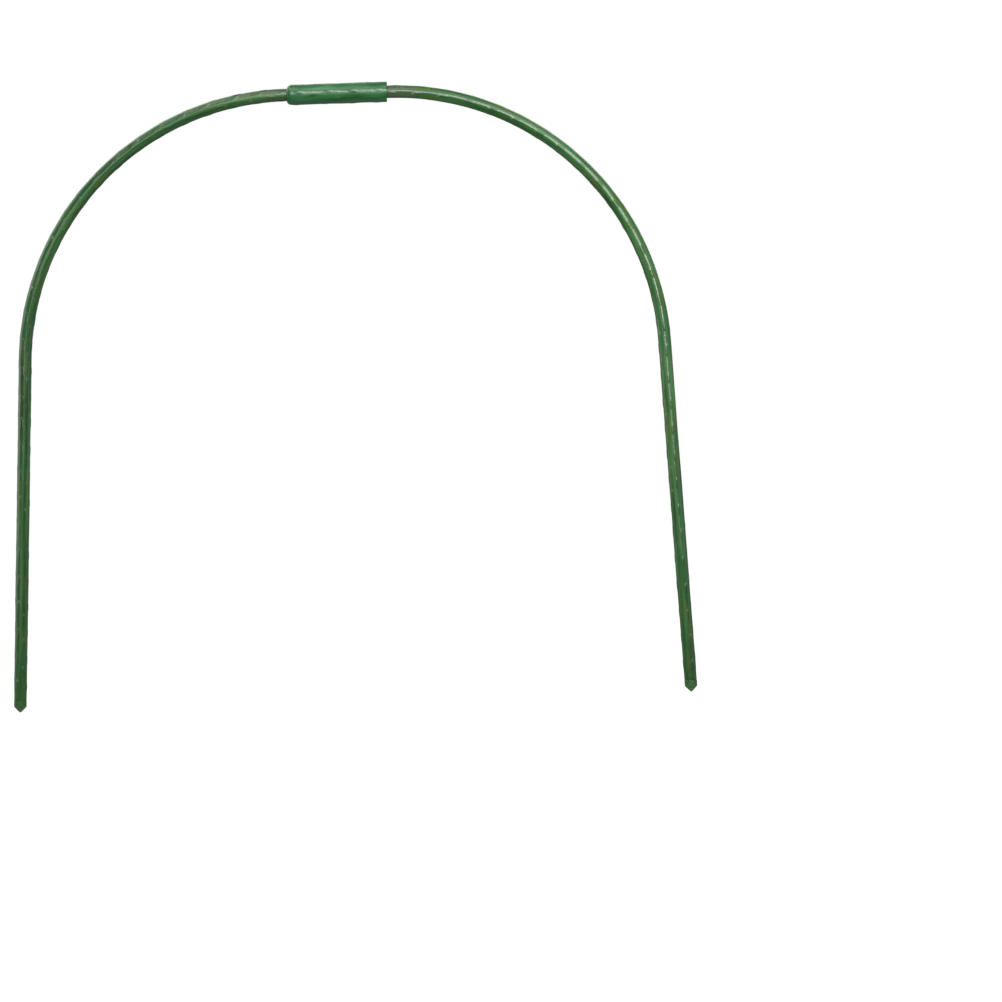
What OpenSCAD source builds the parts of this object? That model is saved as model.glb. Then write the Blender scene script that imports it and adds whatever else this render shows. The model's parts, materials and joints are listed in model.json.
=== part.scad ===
// Garden hoop arch: two coated steel half hoops pushed into a soft sleeve at the crown.
// Frame: +X across the arch, +Z up. The origin is midway between the two ground points.

/* [Arch] */
// Distance between the tips of the two ground points
stake_span = 589; // [480:1:700]
// Height of the rod's centreline at the crown
crown_h = 534; // [460:1:660]
// Outward lean of each leg, in degrees
splay = 2.6; // [0:0.1:5]

/* [Rod] */
// Outside diameter of the coated rod
rod_d = 11; // [8:0.5:16]
// Thickness of the plastic coating
coating_t = 0.7; // [0.4:0.1:1.2]
// Wall thickness of the steel tube under the coating
tube_wall = 0.5; // [0.4:0.1:1]

/* [Connector sleeve] */
// Length of the sleeve
sleeve_len = 88; // [60:1:120]
// Wall thickness of the sleeve
sleeve_wall = 3.45; // [2:0.05:5]
// Radial clearance between the sleeve and a rod
sleeve_fit = 0.05; // [0.02:0.01:0.1]
// Chamfer on the outer edges of the sleeve
sleeve_chamfer = 0.8; // [0.3:0.1:1.5]
// Straight rod left between each end of the sleeve and the bend
bend_clear = 1.7; // [1:0.1:10]

/* [Ends] */
// Gap between the two rods at the middle of the sleeve
middle_gap = 2; // [1:0.5:6]
// Height of the ground point's cone
cone_h = 5; // [3:0.5:12]
// Diameter of the blunt tip of the cone
cone_tip_d = 1.6; // [0.8:0.1:3]
// Height of the plain collar above the cone
collar_h = 5.5; // [3:0.5:10]
// Length of the spigots inside the steel tube
spigot_len = 12; // [6:1:20]
// Thickness of the end plug's head
plug_head_t = 1.5; // [1:0.1:3]

/* [Hidden] */

coat_color = [0.16, 0.36, 0.17];
point_color = [0.15, 0.38, 0.17];
sleeve_color = [0.17, 0.52, 0.29];
steel_color = [0.68, 0.70, 0.72];
plug_color = [0.12, 0.13, 0.12];

rod_r = rod_d / 2;
tube_r = rod_r - coating_t;
bore_r = tube_r - tube_wall;
sleeve_bore_r = rod_r + sleeve_fit;
sleeve_r = sleeve_bore_r + sleeve_wall;

// Half of the straight stretch at the crown
crown_half = sleeve_len / 2 + bend_clear;
// Radius at which one bend meets both the crown and the leaning leg smoothly
bend_r = ((stake_span / 2 - crown_half) * cos(splay) - crown_h * sin(splay)) / (1 - sin(splay));
bend_z = crown_h - bend_r;
// Straight length of a leg, from the tip of its ground point to the bend
leg_len = (bend_z + bend_r * sin(splay)) / cos(splay);

// Where the rod starts at each end: next to the end plug's head and above the collar
point_h = cone_h + collar_h;
plug_x = middle_gap / 2;
rod_start_x = plug_x + plug_head_t;
// A cut runs this far past the face it opens
past = 1;
// Bending draws the rod thinner by this much in radius
bend_thinning = 0.02;
// Each straight stretch reaches this far into the bend, so that the two are one solid
lap = 0.5;
// Spigots taper by this much over their length
spigot_taper = 0.2;
// The end plug's head stays this far inside the coating's surface
head_inset = 0.3;

round_fn = 96;
bend_fn = 180;

// Puts its children, built upright, on the right leg with z = 0 at the tip
module on_right_leg() {
    translate([stake_span / 2, 0, 0]) rotate([0, -splay, 0]) children();
}

// Lays its children, built upright, along the crown with z = 0 at the middle of the sleeve
module along_crown() {
    translate([0, 0, crown_h]) rotate([0, 90, 0]) children();
}

// Round bar along the right half, from start_x at the crown to leg_z on the leg
module right_run(r, start_x, leg_z) {
    along_crown()
        translate([0, 0, start_x])
        cylinder(h = crown_half + lap - start_x, r = r, $fn = round_fn);
    translate([crown_half, 0, bend_z])
        rotate([90, -splay, 0])
        rotate_extrude(angle = 90 - splay, $fn = bend_fn)
        translate([bend_r, 0])
        circle(r = r - bend_thinning, $fn = round_fn);
    on_right_leg()
        translate([0, 0, leg_z])
        cylinder(h = leg_len + lap - leg_z, r = r, $fn = round_fn);
}

// Tube along the right half, open at both ends
module right_tube(outer_r, inner_r) {
    difference() {
        right_run(outer_r, rod_start_x, point_h);
        right_run(inner_r, rod_start_x - past, point_h - past);
    }
}

// Steel tube that carries the load
module core_tube() {
    color(steel_color) right_tube(tube_r, bore_r);
}

// Plastic skin over the steel tube
module coating() {
    color(coat_color) right_tube(rod_r, tube_r);
}

// Pointed plastic cap with a spigot inside the steel tube
module ground_point() {
    color(point_color)
        on_right_leg()
        rotate_extrude($fn = round_fn)
        polygon([
            [0, 0],
            [cone_tip_d / 2, 0],
            [rod_r, cone_h],
            [rod_r, point_h],
            [bore_r, point_h],
            [bore_r - spigot_taper, point_h + spigot_len],
            [0, point_h + spigot_len]
        ]);
}

// Plug that seals the rod's inner end
module end_plug() {
    color(plug_color)
        along_crown()
        rotate_extrude($fn = round_fn)
        polygon([
            [0, plug_x],
            [rod_r - head_inset, plug_x],
            [rod_r - head_inset, rod_start_x],
            [bore_r, rod_start_x],
            [bore_r - spigot_taper, rod_start_x + spigot_len],
            [0, rod_start_x + spigot_len]
        ]);
}

// Soft sleeve that both rods push into, chamfered at its outer edges
module connector_sleeve() {
    half = sleeve_len / 2;
    color(sleeve_color)
        along_crown()
        difference() {
            rotate_extrude($fn = round_fn)
                polygon([
                    [0, -half],
                    [sleeve_r - sleeve_chamfer, -half],
                    [sleeve_r, -half + sleeve_chamfer],
                    [sleeve_r, half - sleeve_chamfer],
                    [sleeve_r - sleeve_chamfer, half],
                    [0, half]
                ]);
            translate([0, 0, -half - past]) cylinder(h = sleeve_len + 2 * past, r = sleeve_bore_r, $fn = round_fn);
        }
}

module right_core_tube() { core_tube(); }
module right_coating() { coating(); }
module right_ground_point() { ground_point(); }
module right_end_plug() { end_plug(); }
module left_core_tube() { mirror([1, 0, 0]) core_tube(); }
module left_coating() { mirror([1, 0, 0]) coating(); }
module left_ground_point() { mirror([1, 0, 0]) ground_point(); }
module left_end_plug() { mirror([1, 0, 0]) end_plug(); }

left_core_tube();
left_coating();
left_ground_point();
left_end_plug();
right_core_tube();
right_coating();
right_ground_point();
right_end_plug();
connector_sleeve();
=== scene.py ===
import json
import math
import random

import bpy
import numpy as np
from mathutils import Matrix, Vector


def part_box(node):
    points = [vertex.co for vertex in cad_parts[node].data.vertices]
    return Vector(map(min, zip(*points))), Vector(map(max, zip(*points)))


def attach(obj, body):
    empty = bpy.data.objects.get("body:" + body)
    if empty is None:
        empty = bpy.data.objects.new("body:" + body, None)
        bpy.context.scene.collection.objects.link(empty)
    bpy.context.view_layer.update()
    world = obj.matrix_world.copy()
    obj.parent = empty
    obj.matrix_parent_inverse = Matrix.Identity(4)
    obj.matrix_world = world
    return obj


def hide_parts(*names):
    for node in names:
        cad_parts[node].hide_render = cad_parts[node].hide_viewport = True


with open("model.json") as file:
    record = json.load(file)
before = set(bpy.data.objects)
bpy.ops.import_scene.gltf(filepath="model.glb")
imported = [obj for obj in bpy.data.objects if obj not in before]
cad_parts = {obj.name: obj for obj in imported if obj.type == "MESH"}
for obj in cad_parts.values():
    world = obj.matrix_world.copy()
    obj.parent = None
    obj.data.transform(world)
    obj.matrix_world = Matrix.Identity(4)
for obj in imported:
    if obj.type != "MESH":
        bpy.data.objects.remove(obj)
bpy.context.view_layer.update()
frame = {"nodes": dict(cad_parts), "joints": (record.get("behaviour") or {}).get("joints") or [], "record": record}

# Garden hoop arch: two coated steel half hoops pushed into a soft sleeve at the crown.
# The coatings, ground points and sleeve made here replace the CAD solids. The tubes and plugs stay.

# ---------------------------------------------------------------------------------------------
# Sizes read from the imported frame, in metres
# ---------------------------------------------------------------------------------------------
MOUNTS = {m["name"]: m for m in frame["record"]["mounts"]}
JOINTS = {j["name"]: j for j in frame["joints"]}

stake = MOUNTS["right_stake"]
ROD_R = stake["dims"]["r_mm"] / 1000
CROWN_Z = JOINTS["sleeve_twist"]["pos_m"][2]
LEG_DOWN = Vector(stake["axis"]).normalized()
SPLAY = math.atan2(LEG_DOWN.x, -LEG_DOWN.z)
SPAN_HALF = stake["pos_m"][0] + stake["pos_m"][2] * math.tan(SPLAY)

sleeve_low, sleeve_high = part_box("connector_sleeve")
SLEEVE_HALF = (sleeve_high.x - sleeve_low.x) / 2
SLEEVE_R = (sleeve_high.z - sleeve_low.z) / 2
rod_low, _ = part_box("right_coating")
ROD_START = rod_low.x
tube_low, tube_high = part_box("right_core_tube")
TUBE_R = (tube_high.y - tube_low.y) / 2

# Sizes that the frame doesn't state
BEND_CLEAR = 0.0017
SLEEVE_FIT = 0.00005
POINT_LEN = 0.0105
CONE_LEN = 0.0050
CONE_TIP_R = 0.0007
SPIGOT_LEN = 0.012
TUBE_WALL = 0.0005

# The rod's path: straight crown, one bend, straight leg
CROWN_HALF = SLEEVE_HALF + BEND_CLEAR
# Square distance to the leg's line from the ground right below the bend's centre
TO_LEG = (SPAN_HALF - CROWN_HALF) * math.cos(SPLAY)
BEND_R = (TO_LEG - CROWN_Z * math.sin(SPLAY)) / (1 - math.sin(SPLAY))
BEND_Z = CROWN_Z - BEND_R
BEND_ANGLE = math.pi / 2 - SPLAY
LEG_LEN = (BEND_Z + BEND_R * math.sin(SPLAY)) / math.cos(SPLAY)
CROWN_LEN = CROWN_HALF - ROD_START
BEND_LEN = BEND_R * BEND_ANGLE
ROD_LEN = CROWN_LEN + BEND_LEN + LEG_LEN - POINT_LEN


# ---------------------------------------------------------------------------------------------
# Mesh helpers
# ---------------------------------------------------------------------------------------------
def rod_path(s):
    """Centreline point and outward normal of the right rod at distances s from its inner end."""
    s = np.asarray(s, float)
    turn = np.clip((s - CROWN_LEN) / BEND_R, 0, BEND_ANGLE)
    before = np.minimum(s - CROWN_LEN, 0)
    after = np.maximum(s - CROWN_LEN - BEND_LEN, 0)
    x = CROWN_HALF + before + BEND_R * np.sin(turn) + after * math.sin(SPLAY)
    z = BEND_Z + BEND_R * np.cos(turn) - after * math.cos(SPLAY)
    points = np.stack([x, np.zeros_like(x), z], -1)
    outward = np.stack([np.sin(turn), np.zeros_like(x), np.cos(turn)], -1)
    return points, outward


def rod_rings(s, radius, angles):
    """Rings of points round the right rod. Angle 0 faces the front, and a quarter turn faces outward."""
    centre, outward = rod_path(s)
    across = np.stack([np.zeros_like(angles), -np.cos(angles), np.zeros_like(angles)], -1)
    lift = np.sin(angles)[None, :, None] * outward[:, None, :] + across[None, :, :]
    return centre[:, None, :] + radius[:, :, None] * lift


def grid_faces(rings, segments, closed):
    """Quads that join each ring to the next, and the last to the first when closed."""
    faces = []
    pairs = rings if closed else rings - 1
    for i in range(pairs):
        a, b = i * segments, (i + 1) % rings * segments
        for j in range(segments):
            k = (j + 1) % segments
            faces.append((a + j, a + k, b + k, b + j))
    return faces


def mesh_object(name, points, faces, mirrored=False, **attributes):
    """A smooth-shaded mesh object, mirrored across the arch when asked, with per-point attributes."""
    points = np.array(points, float)
    if mirrored:
        points[:, 0] *= -1
        faces = [tuple(reversed(f)) for f in faces]
    mesh = bpy.data.meshes.new(name)
    mesh.from_pydata(points.tolist(), [], faces)
    for key, values in attributes.items():
        values = np.asarray(values, np.float32)
        kind, field = ("FLOAT_VECTOR", "vector") if values.ndim == 2 else ("FLOAT", "value")
        layer = mesh.attributes.new(key, kind, "POINT")
        layer.data.foreach_set(field, values.ravel())
    mesh.shade_smooth()
    mesh.validate()
    mesh.update()
    obj = bpy.data.objects.new(name, mesh)
    bpy.context.scene.collection.objects.link(obj)
    return obj


def waves(rng, count, along_range, around_max, height):
    """A list of soft waves over a round surface, for lumps that no mould or die makes quite regular."""
    made = []
    for _ in range(count):
        length = rng.uniform(*along_range)
        made.append((
            2 * math.pi / length,
            rng.randint(0, around_max),
            rng.uniform(0, 2 * math.pi),
            height * rng.uniform(0.5, 1.0) / math.sqrt(count),
        ))
    return made


def wave_height(made, s, angles):
    """Sum of the waves at distances s and at the given angles."""
    total = np.zeros((len(s), len(angles)))
    for k, m, phase, height in made:
        total += height * np.sin(k * s[:, None] + m * angles[None, :] + phase)
    return total


def smooth_step(x, low, high):
    """Rises smoothly from 0 at low to 1 at high."""
    t = np.clip((x - low) / (high - low), 0, 1)
    return t * t * (3 - 2 * t)


def wrapped(angles):
    """Angles brought into the range from minus half a turn to half a turn."""
    return (angles + math.pi) % (2 * math.pi) - math.pi


def straight_space(s, angles, radius):
    """Each point's place if the rod were straight: distance along it, then its round section."""
    along = np.broadcast_to(s[:, None], radius.shape)
    return np.stack([along, radius * np.cos(angles), radius * np.sin(angles)], -1).reshape(-1, 3)


# ---------------------------------------------------------------------------------------------
# Coated rods
# ---------------------------------------------------------------------------------------------
# Steps along the skin and its bore, and points round them
RING_STEP = 0.0009
BORE_STEP = 0.006
SEGMENTS = 72
# The nubs stand in rows along the rod, and each row starts a share of the pitch further on
NUB_ROWS = 7
NUB_PITCH = 0.023
NUB_LEN = 0.0088
NUB_WIDTH = 0.0022
NUB_HEIGHT = 0.00026
ROW_STRENGTH = (1.0, 0.45, 0.7, 0.9, 0.6, 0.9, 0.55)
ROW_STAGGER = 4 / 7
ROW_ANGLE = math.radians(-21)
GLINT_R = 0.0009
# In the sleeve the skin stays under its nominal radius, and elsewhere it is a little fuller
PRESSED_IN = 0.00004
FULLER = 0.00014
# A different stretch of the material's noise for each rod
NOISE_SHIFT = 0.37


def nub_field(rng, s, angles, first_row, twist):
    """Height share, 0 to 1, of the nubs, how far each top is filled out flat, and a painted glint near one end of
    each nub.
    """
    bump = np.zeros((len(s), len(angles)))
    facet = np.zeros_like(bump)
    spot = np.zeros_like(bump)
    for row in range(NUB_ROWS):
        row_angle = first_row + row * 2 * math.pi / NUB_ROWS
        start = NUB_PITCH * (row * ROW_STAGGER % 1) + rng.uniform(-0.002, 0.002)
        count = int(ROD_LEN / NUB_PITCH) + 1
        for i in range(count):
            centre = start + i * NUB_PITCH + rng.uniform(-0.0012, 0.0012)
            length = NUB_LEN * rng.uniform(0.85, 1.15)
            width = NUB_WIDTH * rng.uniform(0.85, 1.15)
            strength = rng.uniform(0.65, 1.0) * ROW_STRENGTH[row]
            glint_strength = rng.uniform(-0.4, 1.0) * ROW_STRENGTH[row]
            turn = row_angle + twist * centre + rng.uniform(-0.06, 0.06)
            near = np.abs(s - centre) < length
            if not near.any():
                continue
            u = (s[near] - centre)[:, None] / (length / 2)
            away = wrapped(angles - turn)[None, :]
            v = away * ROD_R / (width / 2)
            reach = (np.abs(u) ** 3 + np.abs(v) ** 2.4) ** (1 / 2.7)
            raised = 1 - smooth_step(reach, 0.70, 1.15)
            bump[near] = np.maximum(bump[near], strength * raised)
            facet[near] = np.maximum(facet[near], raised * ROD_R * away ** 2 / 2)
            # Painted glint: a pale spot near one end of each nub, in place of the highlight that this end catches
            from_end = ((u + 1.12) * length / 2) ** 2 + ((v - 0.3) * width / 2) ** 2
            spot[near] = np.maximum(spot[near], glint_strength * np.exp(-from_end / GLINT_R ** 2))
    return bump, facet, spot


def coated_rod(name, mirrored, seed, twist):
    """The plastic skin of one half: an open-ended tube with nubs and the unevenness of an extruded coat."""
    rng = random.Random(seed)
    angles = np.linspace(0, 2 * math.pi, SEGMENTS, endpoint=False)
    inner_lip = 0.0004
    seam_lip = 0.0005
    body = np.arange(inner_lip, ROD_LEN - seam_lip, RING_STEP)
    lip = np.array([0.0, 0.12, 0.35, 0.65])
    s = np.concatenate([lip * inner_lip, body, ROD_LEN - lip[::-1] * seam_lip])

    first_row = -ROW_ANGLE if mirrored else ROW_ANGLE
    bump, facet, spot = nub_field(rng, s, angles, first_row, twist)
    # The stretch that sits in the sleeve is squeezed smooth, and the nubs stop short of the ground point
    proud = smooth_step(s, SLEEVE_HALF - 0.004, SLEEVE_HALF + 0.004)
    proud *= 1 - smooth_step(s, ROD_LEN - 0.012, ROD_LEN - 0.006)
    bump *= proud[:, None]
    facet *= proud[:, None]
    spot *= proud[:, None]
    lumps = wave_height(waves(rng, 9, (0.03, 0.16), 3, 0.00010), s, angles)
    lines = wave_height(waves(rng, 7, (0.25, 0.9), 16, 0.00003), s, angles)
    radius = ROD_R - PRESSED_IN + NUB_HEIGHT * bump + facet + (FULLER + lumps + lines) * proud[:, None]

    inner_edge = 1 - np.clip(s / inner_lip, 0, 1)
    seam_edge = 1 - np.clip((ROD_LEN - s) / seam_lip, 0, 1)
    radius -= (0.0003 * inner_edge ** 2 + 0.0002 * seam_edge ** 2)[:, None]
    outer = rod_rings(s, radius, angles)

    # The bore follows the steel tube, with fewer rings
    s_in = np.concatenate([[0.0], np.arange(BORE_STEP, ROD_LEN - BORE_STEP / 2, BORE_STEP), [ROD_LEN]])[::-1]
    bore = np.full((len(s_in), SEGMENTS), TUBE_R)
    inner = rod_rings(s_in, bore, angles)

    # Dull stretch where the sleeve has rubbed, fainter on the left rod
    rubbed = smooth_step(s, SLEEVE_HALF - 0.01, SLEEVE_HALF)
    rubbed *= 1 - smooth_step(s, SLEEVE_HALF + 0.012, SLEEVE_HALF + 0.026)
    rubbed = np.broadcast_to(rubbed[:, None], radius.shape) * (0.4 if mirrored else 1.0)

    points = np.concatenate([outer.reshape(-1, 3), inner.reshape(-1, 3)])
    space = np.concatenate([straight_space(s, angles, radius), straight_space(s_in, angles, bore)])
    blank = np.zeros(inner.shape[0] * SEGMENTS)
    faces = grid_faces(len(s) + len(s_in), SEGMENTS, closed=True)
    return mesh_object(
        name, points, faces, mirrored,
        rod_space=space + np.array([seed * NOISE_SHIFT, 0, 0]),
        # Nub height share, carried to the material for the painted shade on the nub tops
        nub_top=np.concatenate([bump.ravel(), blank]),
        # Pale spot near one end of each nub, a painted glint
        pale_spot=np.concatenate([spot.ravel(), blank]),
        rubbed=np.concatenate([rubbed.ravel(), blank]),
    )


# ---------------------------------------------------------------------------------------------
# Turned pieces: ground points and the sleeve
# ---------------------------------------------------------------------------------------------
def ground_point(name, mirrored, seed):
    """Moulded pointed cap: blunt, slightly crooked cone, short collar and a spigot inside the tube."""
    rng = random.Random(seed)
    segments = 64
    angles = np.linspace(0, 2 * math.pi, segments, endpoint=False)
    collar_r = ROD_R + 0.00003
    spigot_r = TUBE_R - TUBE_WALL - 0.00003
    profile = [
        (0.00000, 0.00018), (0.00006, 0.00045), (0.00022, CONE_TIP_R), (0.00060, 0.00118),
        (0.00150, 0.00212), (0.00250, 0.00312), (0.00350, 0.00408), (0.00440, 0.00492),
        (CONE_LEN - 0.00018, collar_r - 0.00024), (CONE_LEN + 0.00020, collar_r - 0.00005),
        (CONE_LEN + 0.00080, collar_r), (0.00750, collar_r), (0.00900, collar_r + 0.00002),
        (0.00995, collar_r - 0.00001), (0.01020, collar_r - 0.00006), (0.01036, collar_r - 0.00016),
        (POINT_LEN - 0.00003, collar_r - 0.00034), (POINT_LEN, spigot_r + 0.00010),
        (POINT_LEN + 0.00040, spigot_r), (POINT_LEN + SPIGOT_LEN - 0.0006, spigot_r - 0.0002),
        (POINT_LEN + SPIGOT_LEN, spigot_r - 0.0008),
    ]
    lean = rng.uniform(0.6, 1.2) * 0.00035
    lean_to = rng.uniform(0, 2 * math.pi)
    tip = Vector((SPAN_HALF, 0, 0))
    up = -LEG_DOWN
    out = Vector((up.z, 0, -up.x))
    front = Vector((0, -1, 0))
    points = []
    space = []
    for height, radius in profile:
        crooked = lean * max(0.0, 1 - height / CONE_LEN) ** 1.5
        for angle in angles:
            # The cone isn't quite round, and a thin line shows where the mould halves met
            uneven = 1 + 0.012 * math.cos(3 * angle + seed) * (height < CONE_LEN)
            on_line = 0.0004 < height < POINT_LEN - 0.0006
            flash = 0.00007 * math.exp(-(math.sin(angle) / 0.07) ** 2) * on_line
            r = radius * uneven + flash
            place = tip + up * height
            place += front * (r * math.cos(angle) + crooked * math.cos(lean_to))
            place += out * (r * math.sin(angle) + crooked * math.sin(lean_to))
            points.append(tuple(place))
            space.append((height, r * math.cos(angle), r * math.sin(angle)))
    faces = [tuple(reversed(f)) for f in grid_faces(len(profile), segments, closed=False)]
    last = (len(profile) - 1) * segments
    faces.append(tuple(range(segments)))
    faces.append(tuple(reversed(range(last, last + segments))))
    return mesh_object(name, points, faces, mirrored, rod_space=space)


# Swellings over the gripped nubs
PRINT_ANGLE = math.radians(12)
PRINT_START = 0.17
PRINT_LEN = 0.0032
PRINT_WIDTH = 0.0018
PRINT_HEIGHT = 0.00042
CREASE_ANGLE = math.radians(-24)
CREASE_DEPTH = 0.00012


def connector_sleeve(name, seed):
    """Soft sleeve: wavy wall with swellings over the nubs it grips, rolled left lip, cut right end."""
    rng = random.Random(seed)
    segments = 96
    angles = np.linspace(0, 2 * math.pi, segments, endpoint=False)
    half = SLEEVE_HALF
    outer_r = SLEEVE_R - 0.0001
    bore_r = ROD_R + SLEEVE_FIT

    t = np.linspace(0, math.pi / 2, 9)
    left_lip, left_drop = 0.0040, 0.0031
    right_lip, right_drop = 0.0006, 0.0005
    x_left = -half + left_lip * (1 - np.cos(t))
    drop_left = left_drop * (1 - np.sin(t))
    x_right = half - right_lip * (1 - np.cos(t))[::-1]
    drop_right = right_drop * (1 - np.sin(t))[::-1]
    x_body = np.arange(-half + left_lip + 0.0007, half - right_lip - 0.0004, 0.0008)
    x = np.concatenate([x_left, x_body, x_right])
    drop = np.concatenate([drop_left, np.zeros(len(x_body)), drop_right])

    calm = smooth_step(x, -half, -half + 0.006) * (1 - smooth_step(x, half - 0.010, half - 0.001))
    wavy = wave_height(waves(rng, 10, (0.018, 0.09), 3, 0.00019), x, angles)
    ripples = wave_height(waves(rng, 8, (0.008, 0.020), 4, 0.00004), x, angles)
    swell = np.zeros_like(wavy)
    for row in range(NUB_ROWS):
        turn = PRINT_ANGLE + row * 2 * math.pi / NUB_ROWS
        place = -half + 0.007 + NUB_PITCH * ((row * ROW_STAGGER + PRINT_START) % 1)
        while place < half - 0.006:
            u = (x - place)[:, None] / PRINT_LEN
            v = wrapped(angles - turn)[None, :] * outer_r / PRINT_WIDTH
            print_reach = np.sqrt(u ** 2 + v ** 2)
            swell += rng.uniform(0.5, 1.0) * (1 - smooth_step(print_reach, 0.3, 1.5))
            place += NUB_PITCH + rng.uniform(-0.003, 0.003)
    crease_x = smooth_step(x, -0.020, -0.012) * (1 - smooth_step(x, 0.012, 0.020))
    crease_at = CREASE_ANGLE + 0.05 * np.sin(x * 260)
    from_crease = wrapped(angles)[None, :] - crease_at[:, None]
    crease = crease_x[:, None] * np.exp(-(from_crease / 0.05) ** 2)
    relief = wavy + ripples + PRINT_HEIGHT * swell - CREASE_DEPTH * crease
    radius = np.minimum(outer_r - drop[:, None] + relief * calm[:, None], SLEEVE_R + 0.0004)

    # The cut end isn't quite square, and the mouths of the bore are eased
    bore_right = [half, half - 0.0006, half - 0.003, 0.02]
    bore_left = [-0.02, -half + 0.003, -half + 0.0008, -half]
    x_bore = np.array([*bore_right, 0.0, *bore_left])
    r_bore = np.array([0.0006, 0.00012, 0, 0, 0, 0, 0, 0.0002, 0.0008]) + bore_r
    r_bore = np.broadcast_to(r_bore[:, None], (len(x_bore), segments))

    def ring_points(along, r):
        slant = 0.0003 * smooth_step(along, half - 0.010, half)[:, None] * np.sin(angles + 0.6)[None, :]
        spread = np.zeros((len(along), segments, 3))
        spread[:, :, 0] = along[:, None] + slant
        spread[:, :, 1] = -r * np.cos(angles)
        spread[:, :, 2] = CROWN_Z + r * np.sin(angles)
        return spread.reshape(-1, 3)

    points = np.concatenate([ring_points(x, radius), ring_points(x_bore, r_bore)])
    space = np.concatenate([straight_space(x, angles, radius), straight_space(x_bore, angles, r_bore)])
    faces = grid_faces(len(x) + len(x_bore), segments, closed=True)
    return mesh_object(name, points, faces, rod_space=space)


# ---------------------------------------------------------------------------------------------
# Materials
# ---------------------------------------------------------------------------------------------
class Nodes:
    """Short-hand for building one material's nodes."""

    def __init__(self, name):
        self.material = bpy.data.materials.new(name)
        self.material.use_nodes = True
        self.tree = self.material.node_tree
        self.tree.nodes.clear()
        self.shader = self.tree.nodes.new("ShaderNodeBsdfPrincipled")
        output = self.tree.nodes.new("ShaderNodeOutputMaterial")
        self.link(self.shader.outputs[0], output.inputs["Surface"])

    def node(self, kind, **values):
        """New node with the given properties."""
        made = self.tree.nodes.new(kind)
        for key, value in values.items():
            setattr(made, key, value)
        return made

    def link(self, source, target):
        self.tree.links.new(source, target)

    def set(self, **values):
        """Sets constants on the shader's own sockets."""
        for key, value in values.items():
            self.shader.inputs[key].default_value = value

    def attribute(self, name, output):
        return self.node("ShaderNodeAttribute", attribute_name=name).outputs[output]

    def stretched(self, source, scale):
        """The coordinates multiplied by scale, so that a noise is drawn out along the rod."""
        mapping = self.node("ShaderNodeMapping")
        mapping.inputs["Scale"].default_value = scale
        self.link(source, mapping.inputs["Vector"])
        return mapping.outputs[0]

    def noise(self, coordinates, scale, detail=3.0, rough=0.5, distortion=0.0):
        made = self.node("ShaderNodeTexNoise")
        self.link(coordinates, made.inputs["Vector"])
        made.inputs["Scale"].default_value = scale
        made.inputs["Detail"].default_value = detail
        made.inputs["Roughness"].default_value = rough
        made.inputs["Distortion"].default_value = distortion
        return made.outputs["Fac"]

    def ramp(self, factor, stops):
        made = self.node("ShaderNodeValToRGB")
        elements = made.color_ramp.elements
        while len(elements) < len(stops):
            elements.new(0.5)
        for element, (place, colour) in zip(elements, stops):
            element.position = place
            element.color = (*colour, 1)
        self.link(factor, made.inputs["Fac"])
        return made.outputs["Color"]

    def remap(self, value, low, high, to_low, to_high):
        """Maps the range low..high to to_low..to_high, and holds the ends."""
        made = self.node("ShaderNodeMapRange")
        self.link(value, made.inputs["Value"])
        made.inputs["From Min"].default_value = low
        made.inputs["From Max"].default_value = high
        made.inputs["To Min"].default_value = to_low
        made.inputs["To Max"].default_value = to_high
        return made.outputs["Result"]

    def mix(self, factor, a, b):
        made = self.node("ShaderNodeMix", data_type="RGBA")
        for socket, value in ((made.inputs["Factor"], factor), (made.inputs["A"], a), (made.inputs["B"], b)):
            self.put(value, socket)
        return made.outputs["Result"]

    def times(self, a, b):
        made = self.node("ShaderNodeMath", operation="MULTIPLY")
        self.put(a, made.inputs[0])
        self.put(b, made.inputs[1])
        return made.outputs[0]

    def put(self, value, socket):
        """Links an output, or sets a colour or a number."""
        if isinstance(value, bpy.types.NodeSocket):
            self.link(value, socket)
        elif isinstance(value, tuple):
            socket.default_value = (*value, 1)
        else:
            socket.default_value = value

    def bump(self, *layers):
        """Stacks height layers, each (height, strength, distance in metres), into one normal."""
        normal = None
        for height, strength, distance in layers:
            made = self.node("ShaderNodeBump")
            made.inputs["Strength"].default_value = strength
            made.inputs["Distance"].default_value = distance
            self.link(height, made.inputs["Height"])
            if normal is not None:
                self.link(normal, made.inputs["Normal"])
            normal = made.outputs["Normal"]
        self.link(normal, self.shader.inputs["Normal"])


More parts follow.
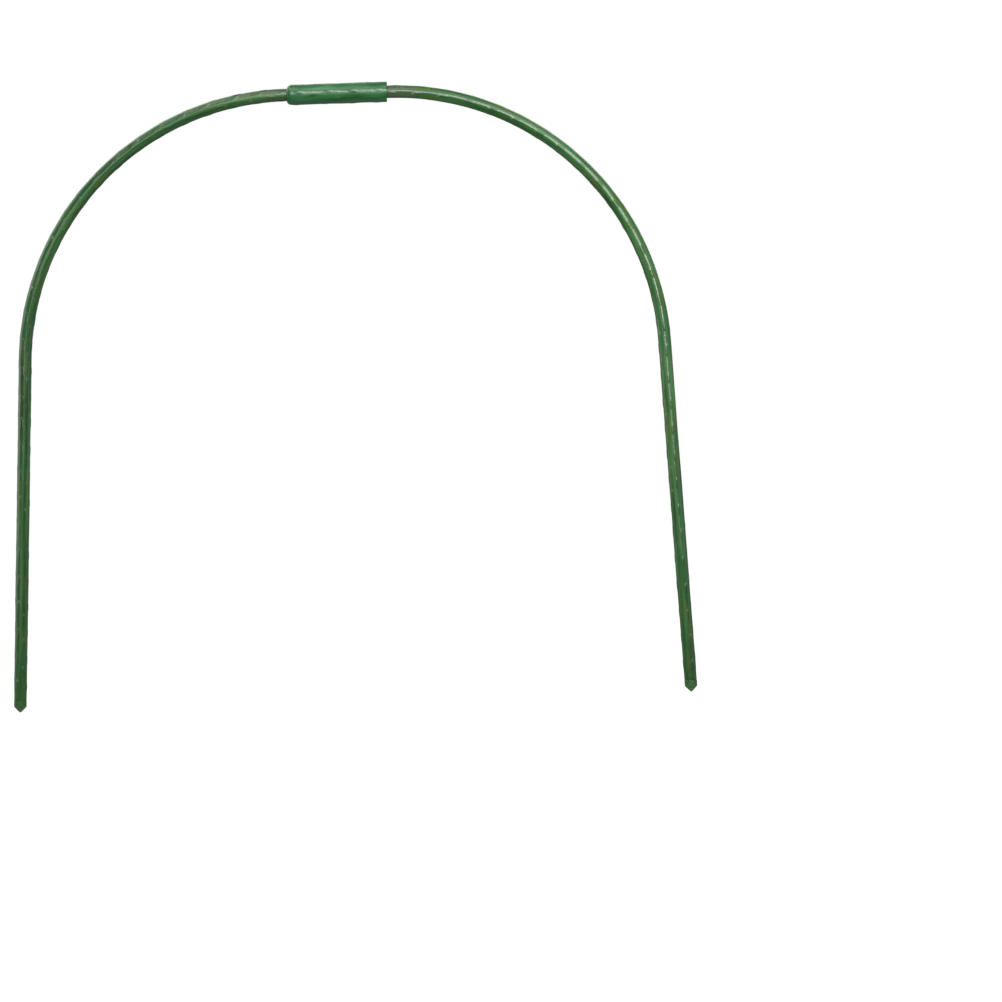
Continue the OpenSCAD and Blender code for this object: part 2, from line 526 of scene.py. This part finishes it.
def coating_material():
    """Drawn polyethylene: streaks along the rod, olive and bluish drifts, painted shade on the nub tops, painted
    glints at one end of the nubs and a rubbed stretch.
    """
    n = Nodes("coated_rod_green")
    space = n.attribute("rod_space", "Vector")
    streaks = n.noise(n.stretched(space, (14, 300, 300)), 1.0, 1.0, 0.5)
    long_mottle = n.noise(n.stretched(space, (42, 210, 210)), 1.0, 1.5, 0.5)
    patches = n.noise(n.stretched(space, (9, 60, 60)), 1.0, 2.0, 0.5)
    wrinkles = n.noise(n.stretched(space, (60, 320, 320)), 1.0, 0.0, 0.5)
    green = n.ramp(streaks, [
        (0.34, (0.004, 0.056, 0.005)),
        (0.50, (0.011, 0.088, 0.011)),
        (0.66, (0.034, 0.134, 0.030)),
    ])
    olive = n.mix(n.remap(long_mottle, 0.49, 0.68, 0.0, 0.75), green, (0.048, 0.096, 0.006))
    blue = n.mix(n.remap(patches, 0.50, 0.72, 0.0, 0.50), olive, (0.006, 0.098, 0.030))
    # Painted shade: the nub tops are darkened to a dark olive, standing in for the shaded flanks of the raised
    # nubs
    top = n.mix(n.times(n.attribute("nub_top", "Fac"), 0.85), blue, (0.010, 0.050, 0.003))
    rubbed = n.mix(n.times(n.attribute("rubbed", "Fac"), 0.50), top, (0.068, 0.085, 0.045))
    # Painted highlight: pale glints near one end of the nubs
    with_painted_glints = n.mix(n.times(n.attribute("pale_spot", "Fac"), 0.85), rubbed, (0.20, 0.31, 0.15))
    n.link(with_painted_glints, n.shader.inputs["Base Color"])
    n.link(n.remap(streaks, 0.3, 0.7, 0.23, 0.35), n.shader.inputs["Roughness"])
    n.bump((streaks, 0.5, 0.00026), (long_mottle, 0.5, 0.00030), (wrinkles, 0.3, 0.00018))
    n.set(IOR=1.58)
    return n.material


def ground_point_material():
    """Moulded cap: mottled green with painted light from below that grows paler towards its tip, and painted
    highlight specks.
    """
    n = Nodes("ground_point_green")
    space = n.attribute("rod_space", "Vector")
    mottle = n.noise(space, 420, 4.0, 0.6)
    scuffs_and_glints = n.noise(n.stretched(space, (300, 900, 900)), 1.0, 3.0, 0.7)
    green = n.ramp(mottle, [
        (0.32, (0.007, 0.062, 0.009)),
        (0.52, (0.015, 0.098, 0.016)),
        (0.72, (0.038, 0.140, 0.034)),
    ])
    axis = n.node("ShaderNodeSeparateXYZ")
    n.link(space, axis.inputs[0])
    # Painted light: the cap grows paler towards its tip in place of the light that the white floor would throw up
    # onto it
    towards_tip = n.remap(axis.outputs["X"], 0.0070, 0.0020, 0.0, 0.80)
    painted_underlight = n.mix(towards_tip, green, (0.160, 0.270, 0.140))
    # Painted highlight: pale specks from the same noise that also sets the roughness and bump, standing in for
    # glints on the cap
    with_painted_glints = n.mix(n.remap(scuffs_and_glints, 0.56, 0.70, 0.0, 0.6), painted_underlight, (0.170, 0.270, 0.150))
    n.link(with_painted_glints, n.shader.inputs["Base Color"])
    n.link(n.remap(scuffs_and_glints, 0.3, 0.7, 0.32, 0.5), n.shader.inputs["Roughness"])
    n.bump((mottle, 0.5, 0.0002), (scuffs_and_glints, 0.4, 0.0001))
    n.set(IOR=1.46)
    return n.material


def sleeve_material():
    """Soft glossy tube: marbled emerald, drawn out along its length."""
    n = Nodes("sleeve_emerald")
    space = n.attribute("rod_space", "Vector")
    drawn = n.noise(n.stretched(space, (40, 240, 240)), 1.0, 1.5, 0.5, 0.4)
    marbling = n.noise(n.stretched(space, (30, 90, 90)), 1.0, 3.0, 0.55, 0.8)
    fine = n.noise(n.stretched(space, (90, 340, 340)), 1.0, 0.0, 0.5)
    green = n.ramp(drawn, [
        (0.32, (0.004, 0.074, 0.010)),
        (0.50, (0.010, 0.116, 0.023)),
        (0.70, (0.028, 0.166, 0.048)),
    ])
    teal = n.mix(n.remap(marbling, 0.50, 0.70, 0.0, 0.60), green, (0.012, 0.104, 0.046))
    leaf = n.mix(n.remap(marbling, 0.46, 0.30, 0.0, 0.55), teal, (0.013, 0.124, 0.012))
    n.link(leaf, n.shader.inputs["Base Color"])
    n.link(n.remap(drawn, 0.3, 0.7, 0.26, 0.35), n.shader.inputs["Roughness"])
    n.bump((marbling, 0.5, 0.0005), (drawn, 0.4, 0.00012), (fine, 0.2, 0.00008))
    n.set(IOR=1.62)
    return n.material


def steel_material():
    """Zinc-coated tube."""
    n = Nodes("zinc_steel")
    place = n.node("ShaderNodeTexCoord").outputs["Object"]
    grain = n.noise(place, 900, 4.0, 0.6)
    spangle = n.noise(place, 160, 2.0, 0.5)
    grey = n.ramp(spangle, [(0.3, (0.50, 0.52, 0.54)), (0.7, (0.68, 0.69, 0.70))])
    n.link(grey, n.shader.inputs["Base Color"])
    n.link(n.remap(grain, 0.3, 0.7, 0.28, 0.46), n.shader.inputs["Roughness"])
    n.bump((grain, 0.15, 0.00005))
    n.set(Metallic=1.0)
    return n.material


def plug_material():
    """Black moulded plug."""
    n = Nodes("plug_black")
    place = n.node("ShaderNodeTexCoord").outputs["Object"]
    grain = n.noise(place, 1400, 3.0, 0.6)
    black = n.ramp(grain, [(0.3, (0.010, 0.011, 0.010)), (0.7, (0.022, 0.024, 0.022))])
    n.link(black, n.shader.inputs["Base Color"])
    n.link(n.remap(grain, 0.3, 0.7, 0.45, 0.62), n.shader.inputs["Roughness"])
    n.bump((grain, 0.3, 0.00006))
    return n.material


# ---------------------------------------------------------------------------------------------
# The arch
# ---------------------------------------------------------------------------------------------
COATING = coating_material()
POINT = ground_point_material()
SLEEVE = sleeve_material()
STEEL = steel_material()
PLUG = plug_material()

# Side, mirrored or not, random seed, and how far the nub rows twist round the rod in radians per metre
HALVES = (("left", True, 3, 0.0), ("right", False, 8, 1.2))

for side, mirrored, seed, twist in HALVES:
    body = side + "_half"
    rod = coated_rod(side + "_coating_skin", mirrored, seed, twist)
    rod.data.materials.append(COATING)
    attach(rod, body)
    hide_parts(side + "_coating")

    point = ground_point(side + "_point_cap", mirrored, seed)
    point.data.materials.append(POINT)
    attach(point, body)
    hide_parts(side + "_ground_point")

    for node, material in ((side + "_core_tube", STEEL), (side + "_end_plug", PLUG)):
        for slot in frame["nodes"][node].material_slots:
            slot.material = material

sleeve = connector_sleeve("sleeve_tube", seed=5)
sleeve.data.materials.append(SLEEVE)
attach(sleeve, "connector")
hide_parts("connector_sleeve")


# ---------------------------------------------------------------------------------------------
# Studio: camera, floor and lights
# ---------------------------------------------------------------------------------------------
LENS = 135.0
SENSOR = 36.0
# Width of the view at the arch, the middle of the view, and the arch's tilt in it
FRAME_WIDTH = 0.8788
LOOK_AT = Vector((0.1327, 0.0, 0.1722))
ROLL = math.radians(-1.79)
FLOOR_GLOW = 0.97
FLOOR_ALBEDO = 0.12
WORLD_STRENGTH = 0.30
ARCH_MIDDLE = Vector((0, 0, 0.3))

camera_data = bpy.data.cameras.new("camera")
camera_data.lens = LENS
camera_data.sensor_width = SENSOR
camera = bpy.data.objects.new("camera", camera_data)
bpy.context.scene.collection.objects.link(camera)
distance = FRAME_WIDTH * LENS / SENSOR
camera.matrix_world = (
    Matrix.Translation(LOOK_AT - Vector((0, distance, 0)))
    @ Matrix.Rotation(math.radians(90), 4, "X")
    @ Matrix.Rotation(ROLL, 4, "Z")
)
bpy.context.scene.camera = camera


def backdrop():
    """Floor that curves up into a wall all round, like a bowl, so that every view ends in the same white."""
    segments = 96
    floor_r, curve_r, wall_top = 4.5, 2.5, 6.0
    curve_steps = 12
    profile = [(0.5, 0.0), (1.5, 0.0), (floor_r, 0.0)]
    for i in range(1, curve_steps + 1):
        t = i / curve_steps * math.pi / 2
        profile.append((floor_r + curve_r * math.sin(t), curve_r * (1 - math.cos(t))))
    profile.append((floor_r + curve_r, wall_top))
    points = []
    for radius, height in profile:
        for j in range(segments):
            angle = 2 * math.pi * j / segments
            points.append((radius * math.cos(angle), radius * math.sin(angle), height))
    faces = grid_faces(len(profile), segments, closed=False)
    faces.append(tuple(reversed(range(segments))))
    obj = mesh_object("floor_bowl", points, faces)
    material = bpy.data.materials.new("pale_floor")
    material.use_nodes = True
    tree = material.node_tree
    tree.nodes.clear()
    output = tree.nodes.new("ShaderNodeOutputMaterial")
    add = tree.nodes.new("ShaderNodeAddShader")
    glow = tree.nodes.new("ShaderNodeEmission")
    glow.inputs["Strength"].default_value = FLOOR_GLOW
    matte = tree.nodes.new("ShaderNodeBsdfDiffuse")
    matte.inputs["Color"].default_value = (FLOOR_ALBEDO, FLOOR_ALBEDO, FLOOR_ALBEDO, 1)
    tree.links.new(glow.outputs[0], add.inputs[0])
    tree.links.new(matte.outputs[0], add.inputs[1])
    tree.links.new(add.outputs[0], output.inputs["Surface"])
    obj.data.materials.append(material)
    # Seen by the camera only: the studio lights and the world light the arch
    obj.visible_glossy = False
    obj.visible_diffuse = False
    obj.visible_shadow = False


def aimed(name, data, place, target):
    """Light object at a place, turned to its target and hidden from the camera."""
    obj = bpy.data.objects.new(name, data)
    obj.location = place
    obj.rotation_euler = (Vector(target) - Vector(place)).to_track_quat("-Z", "Y").to_euler()
    obj.visible_camera = False
    bpy.context.scene.collection.objects.link(obj)


def soft_light(name, place, target, width, height, radiance):
    """Softbox of the given size and brightness."""
    data = bpy.data.lights.new(name, "AREA")
    data.shape = "RECTANGLE"
    data.size = width
    data.size_y = height
    data.energy = radiance * math.pi * width * height
    aimed(name, data, place, target)


def soft_spot(name, place, target, radius, radiance, cone):
    """Round soft head whose beam fades out towards a cone of the given width in degrees."""
    data = bpy.data.lights.new(name, "SPOT")
    data.shadow_soft_size = radius
    data.spot_size = math.radians(cone)
    data.spot_blend = 1.0
    data.energy = radiance * (2 * math.pi * radius) ** 2
    aimed(name, data, place, target)


def around(bearing, rise, distance):
    """Place seen from the middle of the arch. Bearing 0 is the camera's side, 90 the right."""
    turn, rise = math.radians(bearing), math.radians(rise)
    way = Vector((math.sin(turn) * math.cos(rise), -math.cos(turn) * math.cos(rise), math.sin(rise)))
    return ARCH_MIDDLE + way * distance


backdrop()
# Name, place and target, then width, height and radiance, or a spot's radius, radiance and cone
soft_light("crown_key", (0.28, -1.6, 1.02), (0.12, 0, 0.52), 0.84, 0.56, 12)
soft_spot("right_key", (0.58, -1.3, 0.50), (0.30, 0, 0.35), 0.19, 20, 38)
soft_light("front_fill", around(-12, 8, 1.8), ARCH_MIDDLE, 0.45, 0.5, 3.2)
soft_light("ceiling", around(0, 56, 1.7), ARCH_MIDDLE, 2.4, 0.6, 1.8)
soft_light("left_overhead", around(-50, 68, 1.6), ARCH_MIDDLE, 0.9, 0.7, 1.5)
soft_light("left_wall", around(-100, 15, 1.7), ARCH_MIDDLE, 1.2, 1.4, 1.5)
soft_light("right_wall", around(80, 5, 1.7), ARCH_MIDDLE, 1.0, 1.0, 0.6)
soft_light("left_rim", around(-145, 40, 1.7), ARCH_MIDDLE, 1.2, 1.2, 3.0)
soft_light("right_rim", around(145, 30, 1.7), ARCH_MIDDLE, 1.2, 1.2, 2.0)

world = bpy.data.worlds.new("studio")
bpy.context.scene.world = world
world.use_nodes = True
world.node_tree.nodes.clear()
background = world.node_tree.nodes.new("ShaderNodeBackground")
world_output = world.node_tree.nodes.new("ShaderNodeOutputWorld")
world.node_tree.links.new(background.outputs[0], world_output.inputs["Surface"])
background.inputs["Color"].default_value = (1, 1, 1, 1)
background.inputs["Strength"].default_value = WORLD_STRENGTH
bpy.context.scene.view_settings.view_transform = "Standard"
